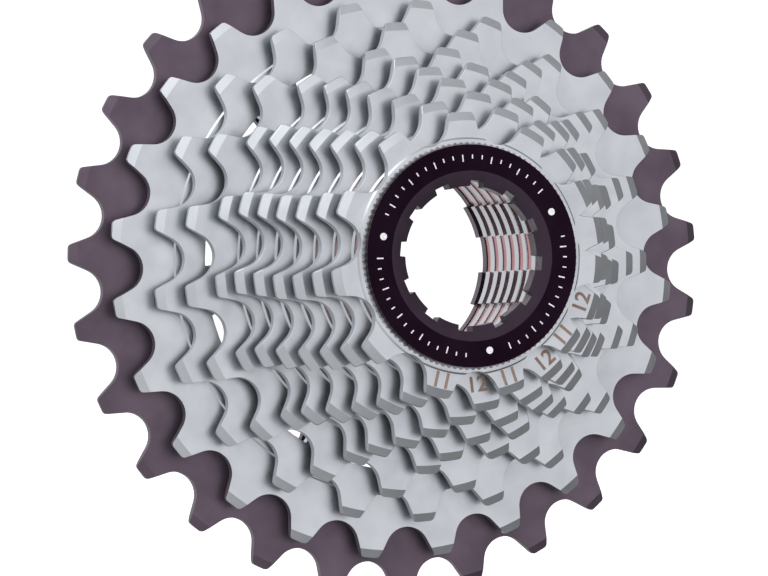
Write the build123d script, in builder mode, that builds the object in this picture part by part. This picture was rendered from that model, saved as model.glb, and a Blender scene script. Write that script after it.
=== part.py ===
"""Eleven-speed bicycle cassette: eleven splined sprockets, ten spacer rings, a lock washer and a lockring.

The cassette's axis is Y.  The largest sprocket's rear face lies in the plane y = 0 and the smaller
sprockets follow it towards -Y, where the lockring is.  +Z is up and +X is to the right, seen from
the lockring's side.  Angles are counter-clockwise from +X in that view.
"""

import os
from math import cos, pi, radians, sin, tan

from build123d import *

os.makedirs("parts", exist_ok=True)

# Chain
chain_pitch = 12.7
roller_radius = 3.9
roller_half_angle = 62.0  # half of the arc of a tooth gap that holds the roller, degrees

# Stack: teeth of each sprocket from the rear, and the angle of one tooth's centre, degrees
tooth_counts = [27, 24, 21, 19, 17, 16, 15, 14, 13, 12, 11]
tooth_angles = [139.1, 129.5, 120.3, 113.3, 102.9, 97.1, 92.2, 86.9, 80.0, 70.8, 93.1]
sprocket_spacing = 3.8
plate_thickness = 1.6
boss_height = 0.3

# Teeth
tip_height_base = 0.3
tip_height_per_tooth = 0.048
tip_corner_radius = 0.5
front_bevel_width = 1.4
front_bevel_depth = 0.5
rear_bevel_width = 1.0
rear_bevel_depth = 0.3
edge_break = 0.12

# Splined bore for a nine-spline freehub body
spline_count = 9
groove_radius = 17.3
lug_height = 0.75
lug_radius = groove_radius - lug_height
lug_width = 5.6
index_lug_width = 4.0
lug_angle = 24.5
index_lug = 4

# Spacer rings
spacer_bore_clearance = 0.15
spacer_outer_radius = 22.2
spacer_root_margin = 0.35
spacer_edge_break = 0.1
spacer_seat_radius = spacer_outer_radius + 1.8

# Lock washer
washer_radius = 18.45
washer_thickness = 0.35
washer_bore_clearance = 0.9
washer_seat_radius = washer_radius + 0.75

# Raised boss round the bore, and the windows of the three largest sprockets
boss_margin = 0.2
boss_chamfer = 0.28
boss_radii = {27: spacer_seat_radius, 24: 39.5, 21: spacer_seat_radius, 11: washer_seat_radius}
window_outer_radii = {27: 43.0, 24: 37.0, 21: 35.2}
window_inner_radius = spacer_seat_radius + 1.0
window_corner_radius = 3.0
arm_count = 6
arm_width = 8.0
arm_angles = {27: 8.8, 24: 8.8, 21: 38.8}

# Lockring
flange_radius = washer_radius - 0.45
flange_thickness = 0.85
flange_chamfer = 0.15
thread_clearance = 1.3
thread_radius = lug_radius - thread_clearance
skirt_length = 5.5
skirt_wall = 1.65
skirt_chamfer = 0.5
skirt_bore_radius = thread_radius - skirt_wall
tool_web_width = 2.3
tool_web_thickness = 2.6
tool_bore_radius = skirt_bore_radius - tool_web_width
dish_radius = tool_bore_radius + 2.5
dish_depth = 0.6
tool_notch_count = 12
tool_notch_depth = 0.9
tool_notch_width = 2.4
tool_notch_angle = 175.0

cut_margin = 0.2  # how far a cutting shape stands out of the solid that it cuts


def pitch_radius(teeth):
    return chain_pitch / (2 * sin(pi / teeth))


def root_radius(teeth):
    return pitch_radius(teeth) - roller_radius


def tip_radius(teeth):
    return pitch_radius(teeth) + tip_height_base + tip_height_per_tooth * teeth


def boss_radius(index):
    """Boss radius of a sprocket: just past the root of the next smaller one, unless it is given."""
    teeth = tooth_counts[index]
    if teeth in boss_radii:
        return boss_radii[teeth]
    return root_radius(tooth_counts[index + 1]) + boss_margin


def front_plane(distance):
    """Plane that faces the lockring's side, at a distance in front of the rear face of the cassette."""
    return Plane.XZ.offset(distance)


def tooth_gap(teeth):
    """Gap between two teeth: a roller seat and two flanks that open outwards, about the local X axis."""
    centre = pitch_radius(teeth)
    half_angle = radians(roller_half_angle)
    seat_x = centre - roller_radius * cos(half_angle)
    seat_y = roller_radius * sin(half_angle)
    mouth_x = tip_radius(teeth) + cut_margin
    mouth_y = seat_y + (mouth_x - seat_x) / tan(half_angle)
    with BuildSketch() as gap:
        with BuildLine():
            ThreePointArc((seat_x, -seat_y), (centre - roller_radius, 0), (seat_x, seat_y))
            Polyline((seat_x, seat_y), (mouth_x, mouth_y), (mouth_x, -mouth_y), (seat_x, -seat_y))
        make_face()
    return gap.sketch


def lug(width):
    """One lug of the splined bore, about the local X axis, standing inwards from the groove."""
    reach = groove_radius - lug_radius
    with BuildSketch() as shape:
        with Locations((lug_radius - reach, 0)):
            Rectangle(3 * reach, width, align=(Align.MIN, Align.CENTER))
        Circle(lug_radius, mode=Mode.SUBTRACT)
    return shape.sketch


def spline_bore():
    """Outline of the splined bore, with one lug narrower than the others."""
    step = 360 / spline_count
    with BuildSketch() as bore:
        Circle(groove_radius)
        for number in range(spline_count):
            width = index_lug_width if number == index_lug else lug_width
            with PolarLocations(0, 1, start_angle=lug_angle + number * step):
                add(lug(width), mode=Mode.SUBTRACT)
    return bore.sketch


def bevel_ring(radius, width, depth, face_y, side):
    """Triangle that a tooth bevel's cutter is turned from.  side is -1 in front and +1 behind."""
    slope = depth / width
    start = radius - width - cut_margin / slope
    end = radius + cut_margin
    outer_y = face_y + side * cut_margin
    with BuildSketch(Plane.XY) as ring:
        with BuildLine():
            inner_y = outer_y - side * slope * (end - start)
            Polyline((start, outer_y), (end, outer_y), (end, inner_y), close=True)
        make_face()
    return ring.sketch


def sprocket(index):
    """One sprocket: toothed plate, bevelled tips, raised boss, splined bore and, if large, windows."""
    teeth = tooth_counts[index]
    rear = index * sprocket_spacing
    front = rear + plate_thickness
    tip = tip_radius(teeth)
    gap_angle = tooth_angles[index] + 180 / teeth
    with BuildPart() as plate:
        with BuildSketch(front_plane(rear)) as outline:
            Circle(tip)
            with PolarLocations(0, teeth, start_angle=gap_angle):
                add(tooth_gap(teeth), mode=Mode.SUBTRACT)
            fillet(outline.vertices().sort_by(SortBy.DISTANCE)[-2 * teeth :], tip_corner_radius)
        extrude(amount=plate_thickness)
        rims = plate.faces().filter_by(Axis.Y).edges()
        chamfer(rims, edge_break)
        with BuildSketch(front_plane(front)):
            Circle(boss_radius(index))
        extrude(amount=boss_height)
        boss_rim = plate.edges().filter_by(GeomType.CIRCLE).sort_by(Axis.Y)[0]
        chamfer(boss_rim, boss_chamfer)
        with BuildSketch(front_plane(rear - cut_margin)):
            add(spline_bore())
        extrude(amount=plate_thickness + boss_height + 2 * cut_margin, mode=Mode.SUBTRACT)
        if teeth in window_outer_radii:
            with BuildSketch(front_plane(rear - cut_margin)) as windows:
                Circle(window_outer_radii[teeth])
                Circle(window_inner_radius, mode=Mode.SUBTRACT)
                with PolarLocations(0, arm_count, start_angle=arm_angles[teeth]):
                    Rectangle(2 * tip, arm_width, align=(Align.MIN, Align.CENTER), mode=Mode.SUBTRACT)
                fillet(windows.vertices(), window_corner_radius)
            extrude(amount=plate_thickness + boss_height + 2 * cut_margin, mode=Mode.SUBTRACT)
        with BuildSketch(Plane.XY):
            add(bevel_ring(tip, front_bevel_width, front_bevel_depth, -front, -1))
            add(bevel_ring(tip, rear_bevel_width, rear_bevel_depth, -rear, 1))
        revolve(axis=Axis.Y, mode=Mode.SUBTRACT)
    return plate.part


def spacer(index):
    """The ring between a sprocket and the next smaller one."""
    start = index * sprocket_spacing + plate_thickness + boss_height
    length = sprocket_spacing - plate_thickness - boss_height
    outer = min(spacer_outer_radius, root_radius(tooth_counts[index + 1]) - spacer_root_margin)
    with BuildPart() as ring:
        with BuildSketch(front_plane(start)):
            Circle(outer)
            Circle(groove_radius + spacer_bore_clearance, mode=Mode.SUBTRACT)
        extrude(amount=length)
        chamfer(ring.edges().filter_by(GeomType.CIRCLE), spacer_edge_break)
    return ring.part


for number, teeth in enumerate(tooth_counts):
    cog = sprocket(number)
    cog.label = f"sprocket_{teeth}t"
    export_step(cog, f"parts/{cog.label}.step")

for number in range(len(tooth_counts) - 1):
    ring = spacer(number)
    ring.label = f"spacer_{tooth_counts[number + 1]}_{tooth_counts[number]}"
    export_step(ring, f"parts/{ring.label}.step")

# The washer lies on the smallest sprocket's boss, and the lockring's flange lies on the washer.
washer_start = (len(tooth_counts) - 1) * sprocket_spacing + plate_thickness + boss_height
flange_start = washer_start + washer_thickness
flange_front = flange_start + flange_thickness

with BuildPart() as serrated_washer:
    with BuildSketch(front_plane(washer_start)):
        Circle(washer_radius)
        Circle(thread_radius + washer_bore_clearance, mode=Mode.SUBTRACT)
    extrude(amount=washer_thickness)
serrated_washer.part.label = "serrated_washer"
export_step(serrated_washer.part, "parts/serrated_washer.step")

with BuildPart() as lockring:
    with BuildSketch(Plane.XY) as section:
        with BuildLine():
            Polyline(
                (tool_bore_radius, -(flange_front - dish_depth)),
                (dish_radius, -flange_front),
                (flange_radius - flange_chamfer, -flange_front),
                (flange_radius, -(flange_front - flange_chamfer)),
                (flange_radius, -flange_start),
                (thread_radius, -flange_start),
                (thread_radius, -(flange_start - skirt_length + skirt_chamfer)),
                (thread_radius - skirt_chamfer, -(flange_start - skirt_length)),
                (skirt_bore_radius, -(flange_start - skirt_length)),
                (skirt_bore_radius, -(flange_front - dish_depth - tool_web_thickness)),
                (tool_bore_radius, -(flange_front - dish_depth - tool_web_thickness)),
                close=True,
            )
        make_face()
    revolve(axis=Axis.Y)
    with BuildSketch(front_plane(flange_start - skirt_length)):
        reach = tool_bore_radius + tool_notch_depth
        with PolarLocations(0, tool_notch_count, start_angle=tool_notch_angle):
            Rectangle(reach, tool_notch_width, align=(Align.MIN, Align.CENTER))
    extrude(amount=skirt_length + flange_thickness + cut_margin, mode=Mode.SUBTRACT)
lockring.part.label = "lockring"
export_step(lockring.part, "parts/lockring.step")
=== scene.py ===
import math

import bpy
from mathutils import Matrix, Vector


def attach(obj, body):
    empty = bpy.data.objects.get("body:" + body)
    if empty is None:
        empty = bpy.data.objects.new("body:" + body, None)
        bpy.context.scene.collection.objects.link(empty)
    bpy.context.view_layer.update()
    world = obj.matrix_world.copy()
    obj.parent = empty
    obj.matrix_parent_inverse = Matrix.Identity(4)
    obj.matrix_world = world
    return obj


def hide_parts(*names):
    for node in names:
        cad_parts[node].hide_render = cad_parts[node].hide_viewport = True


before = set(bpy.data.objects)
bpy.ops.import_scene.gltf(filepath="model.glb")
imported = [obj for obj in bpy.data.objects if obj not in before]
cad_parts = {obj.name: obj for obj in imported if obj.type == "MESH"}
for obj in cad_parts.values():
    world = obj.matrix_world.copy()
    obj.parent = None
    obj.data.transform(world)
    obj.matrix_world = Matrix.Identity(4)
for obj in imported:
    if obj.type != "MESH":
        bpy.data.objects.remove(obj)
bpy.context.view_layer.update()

mm = 0.001
circle = 2 * math.pi
sameLevel = 0.01 * mm  # faces and vertices this close along the axis are taken to be level
print("frame loaded:", len(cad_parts), "nodes")

# Pieces are modelled lying flat on the bench: the axis is Z, up is the lockring's side and
# z = 0 is the rear face of the largest sprocket. standUp() then turns them about X into place.

teethFromRear = [27, 24, 21, 19, 17, 16, 15, 14, 13, 12, 11]

toothForm = {
    "chainPitch": 12.7 * mm,
    "rollerRadius": 3.9 * mm,
    "seatHalfAngle": math.radians(62),  # half of the arc that holds the roller
    "tipBase": 0.3 * mm,  # the tip stands this far over the pitch circle
    "tipPerTooth": 0.048 * mm,  # and this much more for each tooth
    "cornerLength": 0.5 * mm,
    "seatPoints": 7,
    "cornerPoints": 4,
}

sprocketForm = {
    "spacing": 3.8 * mm,
    "plate": 1.6 * mm,
    "frontBevelWidth": 1.4 * mm,
    "frontBevelDepth": 0.5 * mm,
    "rearBevelWidth": 1.0 * mm,
    "rearBevelDepth": 0.3 * mm,
    "bossHeight": 0.3 * mm,
    "bossChamfer": 0.28 * mm,
    "bossMargin": 0.2 * mm,
    "bossRadii": {27: 24.0 * mm, 24: 39.5 * mm, 21: 24.0 * mm, 11: 19.2 * mm},
    "edgeRound": 0.13 * mm,
    "blankMargin": 0.3 * mm,  # the blank stands this far past the tips, and the toothed outline trims it
    "toothAngles": {27: 139.1, 24: 129.5, 21: 120.3, 19: 113.3, 17: 102.9, 16: 97.1,
                    15: 92.2, 14: 86.9, 13: 80.0, 12: 70.8, 11: 93.1},
}

boreForm = {
    "grooveRadius": 17.3 * mm,
    "lugRadius": 16.55 * mm,
    "lugWidth": 5.6 * mm,
    "indexLugWidth": 4.0 * mm,
    "indexLug": 4,
    "splines": 9,
    "lugAngle": math.radians(24.5),
    "stepPoints": 20,  # points of the outline in one spline pitch
}

windowForm = {
    "innerRadius": 25.0 * mm,
    "outerRadii": {27: 43.0 * mm, 24: 37.0 * mm, 21: 35.2 * mm},
    "arms": 6,
    "armWidth": 8.0 * mm,
    "armAngles": {27: 8.8, 24: 8.8, 21: 38.8},
    "cornerRadius": 3.0 * mm,
}


def deselectAll():
    if bpy.context.object and bpy.context.object.mode != "OBJECT":
        bpy.ops.object.mode_set(mode="OBJECT")
    bpy.ops.object.select_all(action="DESELECT")


def chooseOnly(piece):
    deselectAll()
    piece.select_set(True)
    bpy.context.view_layer.objects.active = piece


def newCylinder(name, sides, radius, low, high):
    deselectAll()
    bpy.ops.mesh.primitive_cylinder_add(
        vertices=sides, radius=radius, depth=high - low, location=(0, 0, (low + high) / 2)
    )
    piece = bpy.context.object
    piece.name = name
    bpy.ops.object.transform_apply(location=True, rotation=True, scale=True)
    return piece


def shapeRim(piece, outline):
    # moves the side vertices of a cylinder onto an outline that has one point for each side
    count = len(outline)
    for vertex in piece.data.vertices:
        turn = math.atan2(vertex.co.y, vertex.co.x) / circle
        vertex.co.x, vertex.co.y = outline[round(turn * count) % count]


def polar(radius, angle):
    return radius * math.cos(angle), radius * math.sin(angle)


def cut(piece, tool, operation="DIFFERENCE"):
    chooseOnly(piece)
    boolean = piece.modifiers.new("cut", "BOOLEAN")
    boolean.object = tool
    boolean.operation = operation
    boolean.solver = "EXACT"
    bpy.ops.object.modifier_apply(modifier=boolean.name)
    bpy.data.objects.remove(tool)


def pickFaces(piece, rule):
    # edit mode with only the faces that pass the rule selected
    chooseOnly(piece)
    for part in (piece.data.vertices, piece.data.edges, piece.data.polygons):
        part.foreach_set("select", [False] * len(part))
    for face in piece.data.polygons:
        face.select = rule(face)
    bpy.ops.object.mode_set(mode="EDIT")
    bpy.ops.mesh.select_mode(type="FACE")


def leaveEdit():
    bpy.ops.object.mode_set(mode="OBJECT")


def roundEdges(piece, width, segments=2, angle=35, smooth=16):
    chooseOnly(piece)
    bevel = piece.modifiers.new("edge round", "BEVEL")
    bevel.width = width
    bevel.segments = segments
    bevel.limit_method = "ANGLE"
    bevel.angle_limit = math.radians(angle)
    bpy.ops.object.modifier_apply(modifier=bevel.name)
    bpy.ops.object.shade_smooth_by_angle(angle=math.radians(smooth))


def tidyMesh(piece, angle=0.2):
    # a boolean leaves its elements in any order, so they are sorted and each run gives the same mesh
    chooseOnly(piece)
    bpy.context.scene.cursor.location = (0.31, 0.17, 0.53)
    bpy.ops.object.mode_set(mode="EDIT")
    bpy.ops.mesh.select_all(action="SELECT")
    bpy.ops.mesh.sort_elements(type="CURSOR_DISTANCE", elements={"VERT", "EDGE", "FACE"})
    bpy.ops.mesh.remove_doubles(threshold=0.002 * mm)
    bpy.ops.mesh.dissolve_limited(angle_limit=math.radians(angle))
    bpy.ops.object.mode_set(mode="OBJECT")


def standUp(piece):
    piece.data.transform(Matrix.Rotation(math.radians(90), 4, "X"))


def pitchRadius(teeth):
    return toothForm["chainPitch"] / (2 * math.sin(math.pi / teeth))


def rootRadius(teeth):
    return pitchRadius(teeth) - toothForm["rollerRadius"]


def tipRadius(teeth):
    return pitchRadius(teeth) + toothForm["tipBase"] + toothForm["tipPerTooth"] * teeth


def toothOutline(teeth, toothAngle):
    # the outline of the whole sprocket, starting near +X; each gap is a roller seat and two flanks
    form = toothForm
    centre, tip, half = pitchRadius(teeth), tipRadius(teeth), form["seatHalfAngle"]
    seatX = centre - form["rollerRadius"] * math.cos(half)
    seatY = form["rollerRadius"] * math.sin(half)
    flank = Vector((math.sin(half), math.cos(half)))
    along = -(seatX * flank.x + seatY * flank.y)
    reach = along + math.sqrt(along ** 2 - seatX ** 2 - seatY ** 2 + tip ** 2)
    corner = Vector((seatX, seatY)) + reach * flank
    before = corner - form["cornerLength"] * flank
    cornerAngle = math.atan2(corner.y, corner.x) + form["cornerLength"] / tip
    after = Vector(polar(tip, cornerAngle))
    upper = []
    for step in range(1, form["seatPoints"] + 1):
        angle = half * step / form["seatPoints"]
        x, y = polar(form["rollerRadius"], angle)
        upper.append((centre - x, y))
    for step in range(form["cornerPoints"]):
        share = step / (form["cornerPoints"] - 1)
        point = (1 - share) ** 2 * before + 2 * share * (1 - share) * corner + share ** 2 * after
        upper.append((point.x, point.y))
    gap = [(x, -y) for x, y in reversed(upper)] + [(centre - form["rollerRadius"], 0)] + upper
    gap.append(polar(tip, math.pi / teeth))
    outline = []
    firstGap = math.radians(toothAngle) + math.pi / teeth
    for number in range(teeth):
        turn = Matrix.Rotation(firstGap + number * circle / teeth, 2)
        outline += [tuple(turn @ Vector(point)) for point in gap]
    start = min(range(len(outline)), key=lambda i: abs(math.atan2(outline[i][1], outline[i][0])))
    return outline[start:] + outline[:start]


def boreOutline():
    # the splined hole: grooves, and between them lugs whose sides are parallel
    form = boreForm
    groove, lug = form["grooveRadius"], form["lugRadius"]
    outline = []
    for number in range(form["splines"]):
        width = form["indexLugWidth"] if number == form["indexLug"] else form["lugWidth"]
        nextWidth = form["indexLugWidth"] if number + 1 == form["indexLug"] else form["lugWidth"]
        middle = form["lugAngle"] + number * circle / form["splines"]
        inner, outer = math.asin(width / 2 / lug), math.asin(width / 2 / groove)
        nextStart = circle / form["splines"] - math.asin(nextWidth / 2 / groove)
        steps = form["stepPoints"] // 2
        for step in range(steps):
            outline.append(polar(lug, middle + inner * (2 * step / (steps - 1) - 1)))
        for step in range(steps):
            outline.append(polar(groove, middle + outer + (nextStart - outer) * step / (steps - 1)))
    return outline


def windowOutline(teeth):
    # half of one window beside the arm that lies along X, and then its mirror image
    form = windowForm
    inner, outer = form["innerRadius"], form["outerRadii"][teeth]
    corner, side = form["cornerRadius"], form["armWidth"] / 2
    middle = math.pi / form["arms"]
    rise = side + corner
    lowX = math.sqrt((inner + corner) ** 2 - rise ** 2)
    highX = math.sqrt((outer - corner) ** 2 - rise ** 2)
    lowAngle, highAngle = math.atan2(rise, lowX), math.atan2(rise, highX)
    half = [polar(inner, middle + (lowAngle - middle) * step / 6) for step in range(7)]
    sweep = math.pi / 2 - lowAngle
    for step in range(1, 8):
        turn = math.pi + lowAngle + sweep * step / 7
        half.append((lowX + corner * math.cos(turn), rise + corner * math.sin(turn)))
    for step in range(8):
        turn = -math.pi / 2 + (math.pi / 2 + highAngle) * step / 7
        half.append((highX + corner * math.cos(turn), rise + corner * math.sin(turn)))
    half += [polar(outer, highAngle + (middle - highAngle) * step / 8) for step in range(1, 9)]
    cosine, sine = polar(1, 2 * middle)
    mirror = Matrix(((cosine, sine), (sine, -cosine)))
    return half + [tuple(mirror @ Vector(point)) for point in reversed(half[1:-1])]


def bossRadius(index):
    teeth = teethFromRear[index]
    given = sprocketForm["bossRadii"].get(teeth)
    return given or rootRadius(teethFromRear[index + 1]) + sprocketForm["bossMargin"]


def flatFace(up, level, radius=1.0):
    # the rule for a flat face at one level, up (1) or down (-1), whose middle is inside the radius
    return lambda face: (
        face.normal.z * up > 0.99
        and abs(face.center.z - level) < sameLevel
        and math.hypot(face.center.x, face.center.y) < radius
    )


def insetFace(piece, up, level, thickness):
    # a smaller face inside the flat one, which stays selected in edit mode
    pickFaces(piece, flatFace(up, level))
    bpy.ops.mesh.inset(thickness=thickness, depth=0)


def bevelFace(piece, up, level, radius, width, depth):
    # a flat inset whose outer rim is then pushed back along the axis: the cone that thins the teeth
    insetFace(piece, up, level, width)
    leaveEdit()
    for vertex in piece.data.vertices:
        outside = math.hypot(vertex.co.x, vertex.co.y) > radius - width / 2
        if outside and abs(vertex.co.z - level) < sameLevel:
            vertex.co.z -= up * depth


def sprocketPiece(index):
    teeth = teethFromRear[index]
    form = sprocketForm
    low = index * form["spacing"]
    high = low + form["plate"]
    over = form["blankMargin"]
    tip = tipRadius(teeth)
    piece = newCylinder(f"sprocket{teeth}", 240, tip + over, low, high)
    frontSlope = form["frontBevelDepth"] / form["frontBevelWidth"]
    rearSlope = form["rearBevelDepth"] / form["rearBevelWidth"]
    frontWidth, rearWidth = form["frontBevelWidth"] + over, form["rearBevelWidth"] + over
    bevelFace(piece, 1, high, tip + over, frontWidth, frontWidth * frontSlope)
    bevelFace(piece, -1, low, tip + over, rearWidth, rearWidth * rearSlope)
    insetFace(piece, 1, high, tip + over - frontWidth - bossRadius(index))
    bpy.ops.mesh.extrude_region_move(TRANSFORM_OT_translate={"value": (0, 0, form["bossHeight"])})
    shrink = 1 - form["bossChamfer"] / bossRadius(index)
    bpy.ops.transform.resize(value=(shrink, shrink, 1), center_override=(0, 0, high + form["bossHeight"]))
    leaveEdit()
    outline = toothOutline(teeth, form["toothAngles"][teeth])
    teethPrism = newCylinder("toothed outline", len(outline), tip, low - mm, high + mm)
    shapeRim(teethPrism, outline)
    cut(piece, teethPrism, "INTERSECT")
    bore = boreOutline()
    boreCutter = newCylinder("spline cutter", len(bore), boreForm["grooveRadius"], low - mm, high + mm)
    shapeRim(boreCutter, bore)
    cut(piece, boreCutter)
    if teeth in windowForm["outerRadii"]:
        window = windowOutline(teeth)
        for number in range(windowForm["arms"]):
            turn = math.radians(windowForm["armAngles"][teeth]) + number * circle / windowForm["arms"]
            windowCutter = newCylinder("window cutter", len(window), tip, low - mm, high + mm)
            shapeRim(windowCutter, window)
            windowCutter.data.transform(Matrix.Rotation(turn, 4, "Z"))
            cut(piece, windowCutter)
    tidyMesh(piece)
    roundEdges(piece, form["edgeRound"])
    return piece


def finishPiece(piece, body, nodes, material):
    standUp(piece)
    piece.data.materials.clear()
    piece.data.materials.append(material)
    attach(piece, body)
    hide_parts(*nodes)


spacerForm = {
    "bore": 17.45 * mm,
    "outer": 22.2 * mm,
    "rootMargin": 0.35 * mm,  # gap between a spacer and the tooth roots in front of it
    "edgeRound": 0.1 * mm,
    "endGap": 0.01 * mm,  # each end stops this far short of the sprocket that it lies against
}

washerForm = {
    "bore": 16.15 * mm,
    "outer": 18.45 * mm,
    "low": 39.9 * mm,
    "thickness": 0.35 * mm,
    "serrations": 110,
    "serrationDepth": 0.4 * mm,
    "edgeRound": 0.03 * mm,
}

lockringForm = {
    "flangeRadius": 18.0 * mm,
    "flangeLow": 40.25 * mm,
    "flangeHigh": 41.1 * mm,
    "dishRadius": 13.8 * mm,
    "dishDepth": 0.6 * mm,
    "dishInside": 11.0 * mm,  # the dish's cone runs in to here, past the edge of the tool bore
    "toolRadius": 11.3 * mm,
    "webLow": 37.9 * mm,
    "threadRadius": 15.25 * mm,
    "threadDepth": 0.5 * mm,
    "threadPitch": 1.0 * mm,
    "threadTurns": 4,
    "threadRelief": 0.5 * mm,
    "skirtLow": 34.75 * mm,
    "skirtWall": 1.65 * mm,
    "notches": 12,
    "notchDepth": 0.9 * mm,
    "notchWidth": 2.4 * mm,
    "notchAngle": math.radians(175),
    "edgeRound": 0.12 * mm,
}


def bridgeCaps(piece, low, high, thickness):
    # both flat ends are inset and what is left in the middle becomes the bore
    pickFaces(piece, lambda face: abs(face.normal.z) > 0.99)
    bpy.ops.mesh.inset(thickness=thickness, depth=0)
    bpy.ops.mesh.bridge_edge_loops()
    leaveEdit()


def spacerPiece(index):
    form = spacerForm
    blank = sprocketForm
    low = index * blank["spacing"] + blank["plate"] + blank["bossHeight"] + form["endGap"]
    high = (index + 1) * blank["spacing"] - form["endGap"]
    outer = min(form["outer"], rootRadius(teethFromRear[index + 1]) - form["rootMargin"])
    piece = newCylinder(f"spacer{teethFromRear[index + 1]}and{teethFromRear[index]}", 180, outer, low, high)
    bridgeCaps(piece, low, high, outer - form["bore"])
    roundEdges(piece, form["edgeRound"])
    return piece


def washerPiece():
    form = washerForm
    low = form["low"]
    high = low + form["thickness"]
    count = 2 * form["serrations"]
    piece = newCylinder("serratedWasher", count, form["outer"], low, high)
    bridgeCaps(piece, low, high, form["outer"] - form["bore"])
    for vertex in piece.data.vertices:
        radius = math.hypot(vertex.co.x, vertex.co.y)
        step = round(math.atan2(vertex.co.y, vertex.co.x) / circle * count)
        if radius > form["outer"] - 0.1 * mm and step % 2:
            shrink = 1 - form["serrationDepth"] / radius
            vertex.co.x *= shrink
            vertex.co.y *= shrink
    roundEdges(piece, form["edgeRound"])
    return piece


def notchedOutline():
    form = lockringForm
    half, bore = form["notchWidth"] / 2, form["toolRadius"]
    side = math.asin(half / bore)
    outline = []
    for number in range(form["notches"]):
        middle = form["notchAngle"] + number * circle / form["notches"]
        turn = Matrix.Rotation(middle, 2)
        deep = bore + form["notchDepth"]
        outline += [tuple(turn @ Vector((deep, -half))), tuple(turn @ Vector((deep, half)))]
        gap = circle / form["notches"] - 2 * side
        outline += [polar(bore, middle + side + gap * step / 7) for step in range(8)]
    return outline


def stepFace(piece, up, level, move, scale=1.0):
    # pulls the flat face round the axis along it, and makes that face larger or smaller
    pickFaces(piece, flatFace(up, level, mm))
    bpy.ops.mesh.extrude_region_move(TRANSFORM_OT_translate={"value": (0, 0, move)})
    if scale != 1.0:
        bpy.ops.transform.resize(value=(scale, scale, 1), center_override=(0, 0, level + move))
    leaveEdit()


def lockringPiece():
    form = lockringForm
    thread, low, high = form["threadRadius"], form["flangeLow"], form["flangeHigh"]
    piece = newCylinder("lockringBody", 180, form["flangeRadius"], low, high)
    insetFace(piece, -1, low, form["flangeRadius"] - thread)
    level, lip, half = low, 0.02 * mm, form["threadPitch"] / 2
    root = 1 - form["threadDepth"] / thread
    stepFace(piece, -1, level, -lip, root)
    level -= lip
    stepFace(piece, -1, level, -form["threadRelief"])
    level -= form["threadRelief"]
    for number in range(form["threadTurns"]):
        stepFace(piece, -1, level, -half, 1 / root)
        stepFace(piece, -1, level - half, -half, root)
        level -= form["threadPitch"]
    stepFace(piece, -1, level, form["skirtLow"] - level)
    insetFace(piece, -1, form["skirtLow"], form["skirtWall"] - form["threadDepth"])
    stepFace(piece, -1, form["skirtLow"], form["webLow"] - form["skirtLow"])
    insetFace(piece, 1, high, form["flangeRadius"] - form["dishRadius"])
    stepFace(piece, 1, high, -form["dishDepth"], form["dishInside"] / form["dishRadius"])
    outline = notchedOutline()
    toolCutter = newCylinder("tool bore", len(outline), mm, form["webLow"] - mm, high + mm)
    shapeRim(toolCutter, outline)
    cut(piece, toolCutter)
    tidyMesh(piece)
    roundEdges(piece, form["edgeRound"])
    return piece


def linearColour(hexText):
    channels = [int(hexText[i:i + 2], 16) / 255 for i in (0, 2, 4)]
    return [c / 12.92 if c <= 0.04045 else ((c + 0.055) / 1.055) ** 2.4 for c in channels] + [1.0]


def addNode(tree, kind, inputs=None, **settings):
    # one node with its settings; an input is a value or an output of another node
    node = tree.nodes.new(kind)
    for name, value in settings.items():
        setattr(node, name, value)
    for socket, value in (inputs or {}).items():
        if isinstance(value, bpy.types.NodeSocket):
            tree.links.new(value, node.inputs[socket])
        else:
            node.inputs[socket].default_value = value
    return node


def perMillimetre(size):
    # Object coordinates are metres, so a pattern of this many mm has this scale
    return 1000 / size


def newMaterial(name, **fixed):
    material = bpy.data.materials.new(name)
    material.use_nodes = True
    tree = material.node_tree
    shader = tree.nodes["Principled BSDF"]
    for socket, value in fixed.items():
        shader.inputs[socket.replace("_", " ")].default_value = value
    return material, tree, shader


finishes = {
    "steelLight": "c3c7ca",
    "steelDark": "b9bdc1",
    "steelRoughness": (0.28, 0.35),
    "plateLight": "665a65",
    "plateDark": "574c57",
    "plateRoughness": (0.38, 0.46),
    "redLight": "a8484a",
    "redDark": "8a2a30",
    "redRoughness": (0.22, 0.36),
    "blackLight": "1e121e",
    "blackDark": "180c18",
    # the dish colour below is painted light: the lighter shading of the recessed dish
    "blackDishPaintedLight": "382e38",
    "blackRoughness": (0.24, 0.36),
    # the washer greys are dark partly for the knurl's own tone and partly as painted shade in the serration
    # valleys
    "washerLight": "a09ca0",
    "washerDarkAndPaintedShade": "6e686c",
    "markWhite": "e8e6e8",
    "markBrown": "8a7263",
}


def blendByNoise(tree, position, size, dark, light):
    # wanders between two colours or two plain values, in patches of this many mm
    noise = addNode(tree, "ShaderNodeTexNoise", {
        "Vector": position, "Scale": perMillimetre(size), "Detail": 3.0})
    ramp = addNode(tree, "ShaderNodeValToRGB", {"Fac": noise.outputs["Fac"]})
    for element, place, value in zip(ramp.color_ramp.elements, (0.32, 0.68), (dark, light)):
        element.position = place
        element.color = linearColour(value) if isinstance(value, str) else [value] * 3 + [1]
    return ramp.outputs["Color"]


def cloudyMaterial(name, colours, colourSize, roughness, roughnessSize, **fixed):
    # the colour and the roughness both wander between two values, in patches of these sizes in mm
    material, tree, shader = newMaterial(name, **fixed)
    position = addNode(tree, "ShaderNodeTexCoord").outputs["Object"]
    colour = blendByNoise(tree, position, colourSize, *colours)
    tree.links.new(colour, shader.inputs["Base Color"])
    tree.links.new(blendByNoise(tree, position, roughnessSize, *roughness), shader.inputs["Roughness"])
    return material, tree, shader, position, colour


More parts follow.
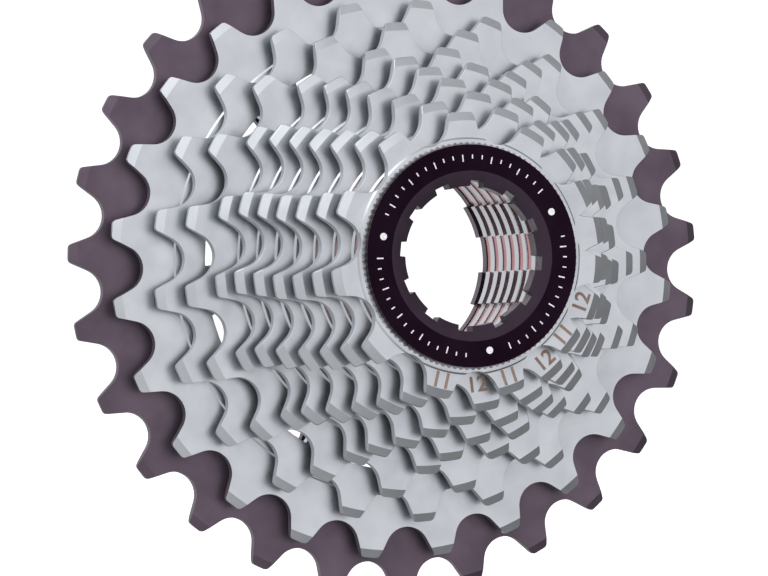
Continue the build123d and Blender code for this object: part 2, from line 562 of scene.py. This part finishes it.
def nickelSteelMaterial():
    # satin nickel plate over stamped and tumbled steel: pale, slightly blue, soft broad highlights
    material, tree, shader, position, _ = cloudyMaterial(
        "satin nickel-plated steel", (finishes["steelDark"], finishes["steelLight"]), 6.0,
        finishes["steelRoughness"], 2.5, Metallic=1.0)
    waves = addNode(tree, "ShaderNodeTexNoise", {
        "Vector": position, "Scale": perMillimetre(5.0), "Detail": 1.0})
    grain = addNode(tree, "ShaderNodeTexNoise", {
        "Vector": position, "Scale": perMillimetre(0.35), "Detail": 4.0})
    wide = addNode(tree, "ShaderNodeBump", {
        "Height": waves.outputs["Fac"], "Strength": 0.03, "Distance": 0.1 * mm})
    fine = addNode(tree, "ShaderNodeBump", {
        "Height": grain.outputs["Fac"], "Normal": wide.outputs["Normal"],
        "Strength": 0.25, "Distance": 0.01 * mm})
    tree.links.new(fine.outputs["Normal"], shader.inputs["Normal"])
    return material


def darkPlateMaterial():
    # hard anodised or black-nickel plate: dark warm grey, still metallic, with faint rolling lines
    material, tree, shader, position, _ = cloudyMaterial(
        "dark grey hard anodised plate", (finishes["plateDark"], finishes["plateLight"]), 8.0,
        finishes["plateRoughness"], 3.0, Metallic=0.85)
    stretch = addNode(tree, "ShaderNodeMapping", {
        "Vector": position,
        "Rotation": (0, math.radians(20), 0),
        "Scale": (perMillimetre(20), 1, perMillimetre(0.25)),
    })
    lines = addNode(tree, "ShaderNodeTexNoise", {
        "Vector": stretch.outputs["Vector"], "Scale": 1.0, "Detail": 2.0})
    bump = addNode(tree, "ShaderNodeBump", {
        "Height": lines.outputs["Fac"], "Strength": 0.2, "Distance": 0.01 * mm})
    tree.links.new(bump.outputs["Normal"], shader.inputs["Normal"])
    return material


def distanceFromAxis(tree, position):
    flat = addNode(tree, "ShaderNodeMapping", {"Vector": position, "Scale": (1, 0, 1)})
    length = addNode(tree, "ShaderNodeVectorMath", {0: flat.outputs["Vector"]}, operation="LENGTH")
    return length.outputs["Value"]


def turnedRings(tree, position, pitch):
    # fine lathe marks, which follow the distance from the axis and the place along it
    apart = addNode(tree, "ShaderNodeSeparateXYZ", {"Vector": position})
    both = {0: distanceFromAxis(tree, position), 1: apart.outputs["Y"]}
    place = addNode(tree, "ShaderNodeMath", both, operation="ADD").outputs["Value"]
    along = {"W": place, "Scale": perMillimetre(pitch), "Detail": 2.0}
    return addNode(tree, "ShaderNodeTexNoise", along, noise_dimensions="1D").outputs["Fac"]


def redSpacerMaterial():
    # red anodised aluminium turned from tube: clear coloured metal with fine lathe rings
    material, tree, shader, position, _ = cloudyMaterial(
        "red anodised aluminium", (finishes["redDark"], finishes["redLight"]), 9.0,
        finishes["redRoughness"], 3.0, Metallic=1.0, Coat_Weight=1.0, Coat_Roughness=0.2)
    bump = addNode(tree, "ShaderNodeBump", {
        "Height": turnedRings(tree, position, 0.12), "Strength": 0.3, "Distance": 0.01 * mm})
    tree.links.new(bump.outputs["Normal"], shader.inputs["Normal"])
    return material


def blackLockringMaterial():
    # black anodised aluminium: nearly black with a faint purple cast; inside the turned dish a paler colour
    # is painted as the dish's lighter shading
    material, tree, shader, position, face = cloudyMaterial(
        "black anodised aluminium", (finishes["blackDark"], finishes["blackLight"]), 7.0,
        finishes["blackRoughness"], 2.0, Metallic=1.0)
    # inside this radius the base colour is the paler dish colour, painted lighter shading of the dish
    edge = lockringForm["dishRadius"] - 0.02 * mm
    compare = {0: distanceFromAxis(tree, position), 1: edge}
    outside = addNode(tree, "ShaderNodeMath", compare, operation="GREATER_THAN").outputs["Value"]
    both = {"Factor": outside, "A": linearColour(finishes["blackDishPaintedLight"]), "B": face}
    colour = addNode(tree, "ShaderNodeMix", both, data_type="RGBA")
    tree.links.new(colour.outputs["Result"], shader.inputs["Base Color"])
    bump = addNode(tree, "ShaderNodeBump", {
        "Height": turnedRings(tree, position, 0.15), "Strength": 0.25, "Distance": 0.01 * mm})
    tree.links.new(bump.outputs["Normal"], shader.inputs["Normal"])
    return material


def washerMaterial():
    # zinc-plated spring steel: grey, with a little cloudiness; both greys are set darker, partly the
    # knurl's own dark tone and partly painted shade for the serration valleys
    colours = (finishes["washerDarkAndPaintedShade"], finishes["washerLight"])
    return cloudyMaterial("zinc-plated steel", colours, 2.0, (0.25, 0.4), 1.5, Metallic=1.0)[0]


def markMaterial(name, colour, roughness):
    # laser marking: a matt, slightly cloudy oxide or bleached layer
    darker = "".join(f"{int(int(colour[i:i + 2], 16) * 0.86):02x}" for i in (0, 2, 4))
    return cloudyMaterial(name, (darker, colour), 0.4, roughness, 0.3, Metallic=0.0)[0]


nickelSteel = nickelSteelMaterial()
darkPlate = darkPlateMaterial()
redSpacer = redSpacerMaterial()
blackLockring = blackLockringMaterial()
zincWasher = washerMaterial()
print("finishes made")

for index, teeth in enumerate(teethFromRear):
    node = f"sprocket_{teeth}t"
    piece = sprocketPiece(index)
    if index:
        finishPiece(piece, node, [node], nickelSteel)
    else:
        finishPiece(piece, node, [node], darkPlate)
    print("sprocket", teeth, "made,", len(piece.data.polygons), "faces")

for index in range(len(teethFromRear) - 1):
    node = f"spacer_{teethFromRear[index + 1]}_{teethFromRear[index]}"
    finishPiece(spacerPiece(index), node, [node], redSpacer)
print("spacers made")

finishPiece(washerPiece(), "serrated_washer", ["serrated_washer"], zincWasher)
lockring = lockringPiece()
finishPiece(lockring, "lockring", ["lockring"], blackLockring)
print("washer and lockring made")

markForm = {
    "thickness": 0.012 * mm,
    "dotRadius": 0.58 * mm,
    "dotRing": 15.5 * mm,
    "dotAngles": (169, 28, 281),
    "tickRing": (15.25 * mm, 16.35 * mm),
    "tickWidth": 0.2 * mm,
    "tickArcs": ((42, 156), (182, 268), (294, 375)),  # degrees, between the dots
    "tickStep": 6,
    "numberHeight": 2.5 * mm,
    "numberBold": 0.08 * mm,
    "numbers": (  # the tooth count, its sprocket, the angle of the tooth and the ring it stands on
        ("11", 10, 256.7, 20.7 * mm),
        ("11", 10, 289.5, 20.7 * mm),
        ("11", 10, 322.2, 20.7 * mm),
        ("12", 9, 310.8, 22.3 * mm),
        ("12", 9, 340.8, 22.3 * mm),
        ("12", 9, 277.5, 21.0 * mm),
    ),
}


def joinAll(name, parts):
    deselectAll()
    for part in parts:
        part.select_set(True)
    bpy.context.view_layer.objects.active = parts[0]
    bpy.ops.object.join()
    parts[0].name = name
    return parts[0]


def tickMark(angle, low, inner, outer, width):
    deselectAll()
    middle = ((inner + outer) / 2, 0, low + markForm["thickness"] / 2)
    bpy.ops.mesh.primitive_cube_add(size=1, location=middle)
    tick = bpy.context.object
    tick.scale = (outer - inner, width, markForm["thickness"])
    bpy.ops.object.transform_apply(location=True, rotation=True, scale=True)
    tick.data.transform(Matrix.Rotation(math.radians(angle), 4, "Z"))
    return tick


def lockringMarks():
    form = markForm
    low = lockringForm["flangeHigh"]
    parts = []
    for angle in form["dotAngles"]:
        dot = newCylinder("dot", 40, form["dotRadius"], low, low + form["thickness"])
        x, y = polar(form["dotRing"], math.radians(angle))
        dot.data.transform(Matrix.Translation((x, y, 0)))
        parts.append(dot)
    for start, end in form["tickArcs"]:
        for number, angle in enumerate(range(start, end + 1, form["tickStep"])):
            inner, outer = form["tickRing"]
            if number % 3:
                inner += 0.45 * mm
            parts.append(tickMark(angle, low, inner, outer, form["tickWidth"]))
    return joinAll("lockringMarks", parts)


def numberMark(text, index, angle, ring):
    form = markForm
    deselectAll()
    bpy.ops.object.text_add(location=(0, 0, 0))
    mark = bpy.context.object
    mark.data.body = text
    mark.data.align_x = "CENTER"
    mark.data.align_y = "CENTER"
    mark.data.size = form["numberHeight"] / 0.7
    mark.data.extrude = form["thickness"] / 2
    mark.data.offset = form["numberBold"]
    mark.data.resolution_u = 4
    bpy.ops.object.convert(target="MESH")
    mark = bpy.context.object
    top = index * sprocketForm["spacing"] + sprocketForm["plate"] + form["thickness"] / 2
    turn = math.radians(angle)
    x, y = polar(ring, turn)
    mark.data.transform(Matrix.Translation((x, y, top)) @ Matrix.Rotation(turn + math.pi / 2, 4, "Z"))
    return mark


marking = lockringMarks()
standUp(marking)
marking.data.materials.clear()
marking.data.materials.append(markMaterial("bleached laser marking", finishes["markWhite"], (0.5, 0.7)))
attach(marking, "lockring")
burnt = markMaterial("burnt laser marking", finishes["markBrown"], (0.4, 0.6))
for index in (10, 9):
    teeth = teethFromRear[index]
    numbers = [numberMark(*number) for number in markForm["numbers"] if number[1] == index]
    numbers = joinAll(f"toothCountMarks{teeth}", numbers)
    standUp(numbers)
    numbers.data.materials.clear()
    numbers.data.materials.append(burnt)
    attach(numbers, f"sprocket_{teeth}t")
print("markings made")

viewForm = {
    "target": Vector((-7.677, -20.0, -4.855)) * mm,
    "azimuth": math.radians(-19.505),
    "elevation": math.radians(-1.101),
    "distance": 773.5 * mm,
    "lens": 219.8,
    "floorLevel": -56.35 * mm,
}


def viewDirection(azimuth, elevation):
    across = math.cos(elevation)
    return Vector((math.sin(azimuth) * across, -math.cos(azimuth) * across, math.sin(elevation)))


def areaLight(name, azimuth, elevation, distance, size, power):
    deselectAll()
    direction = viewDirection(math.radians(azimuth), math.radians(elevation))
    bpy.ops.object.light_add(type="AREA", location=viewForm["target"] + direction * distance)
    light = bpy.context.object
    light.name = name
    light.rotation_euler = (-direction).to_track_quat("-Z", "Y").to_euler()
    light.data.shape = "RECTANGLE"
    light.data.size, light.data.size_y = size
    light.data.energy = power
    return light


floorForm = {
    "size": 8,
    "squares": 40,
    "colour": "f7f7f7",
    "glow": 0.62,  # lit like the backdrop, so that the two run together
}

deselectAll()
bpy.ops.mesh.primitive_grid_add(
    x_subdivisions=floorForm["squares"], y_subdivisions=floorForm["squares"],
    size=floorForm["size"], location=(0, 0, viewForm["floorLevel"]))
floor = bpy.context.object
floor.name = "floor"
floorMaterial, floorTree, floorShader = newMaterial("white paper", Roughness=0.9)
floorShader.inputs["Base Color"].default_value = linearColour(floorForm["colour"])
floorShader.inputs["Emission Color"].default_value = (1, 1, 1, 1)
floorShader.inputs["Emission Strength"].default_value = floorForm["glow"]
floor.visible_glossy = False
floor.data.materials.append(floorMaterial)

# White to the camera. What the metal reflects is a big soft light at the upper left, weaker ones in
# front, behind and at the lower left, and a dim room to the right and below.
studioForm = {
    "roomStrength": (0.2, 0.82),
    "roomSide": (-0.75, -0.3, 0.59),
    "softBoxes": [
        {"toward": (-0.45, -0.75, 0.485), "edge": (0.84, 0.92), "strength": 0.95},
        {"toward": (0.33, -0.94, 0.06), "edge": (0.78, 0.96), "strength": 0.8},
        {"toward": (-0.3, 0.95, 0.1), "edge": (0.45, 0.9), "strength": 0.6},
        {"toward": (-0.6, -0.6, -0.53), "edge": (0.7, 0.97), "strength": 0.35},
    ],
    "backdropStrength": 1.15,
    "key": {"azimuth": -50, "elevation": 48, "distance": 1.2, "size": (0.7, 0.7), "power": 2.5},
    "roomColour": "f0eff2",
}
world = bpy.data.worlds.new("studio")
bpy.context.scene.world = world
world.use_nodes = True
skyTree = world.node_tree
sky = skyTree.nodes["Background"]
sky.inputs["Color"].default_value = linearColour(studioForm["roomColour"])
skyDirection = addNode(skyTree, "ShaderNodeTexCoord").outputs["Generated"]


def skyLobe(toward, low, high, start, end):
    # goes smoothly from start to end as a direction's cosine with this one goes from low to high
    facing = addNode(skyTree, "ShaderNodeVectorMath", {0: skyDirection, 1: toward}, operation="DOT_PRODUCT")
    return addNode(skyTree, "ShaderNodeMapRange", {
        "Value": facing.outputs["Value"],
        "From Min": low,
        "From Max": high,
        "To Min": start,
        "To Max": end,
    }, interpolation_type="SMOOTHSTEP").outputs["Result"]


level = skyLobe(studioForm["roomSide"], -1.0, 1.0, *studioForm["roomStrength"])
for box in studioForm["softBoxes"]:
    lobe = skyLobe(box["toward"], *box["edge"], 0.0, box["strength"])
    level = addNode(skyTree, "ShaderNodeMath", {0: level, 1: lobe}, operation="ADD").outputs["Value"]
skyTree.links.new(level, sky.inputs["Strength"])
white = {"Color": (1, 1, 1, 1), "Strength": studioForm["backdropStrength"]}
backdrop = addNode(skyTree, "ShaderNodeBackground", white)
path = addNode(skyTree, "ShaderNodeLightPath")
mixSky = addNode(skyTree, "ShaderNodeMixShader", {
    "Fac": path.outputs["Is Camera Ray"], 1: sky.outputs["Background"], 2: backdrop.outputs["Background"]})
skyTree.links.new(mixSky.outputs["Shader"], skyTree.nodes["World Output"].inputs["Surface"])

areaLight("key", **studioForm["key"])

camera = bpy.data.objects.new("camera", bpy.data.cameras.new("camera"))
bpy.context.scene.collection.objects.link(camera)
back = viewDirection(viewForm["azimuth"], viewForm["elevation"])
camera.location = viewForm["target"] + back * viewForm["distance"]
camera.rotation_euler = (-back).to_track_quat("-Z", "Y").to_euler()
camera.data.lens = viewForm["lens"]
camera.data.sensor_width = 36
camera.data.clip_start = 0.01
bpy.context.scene.camera = camera
bpy.context.scene.view_settings.view_transform = "Standard"
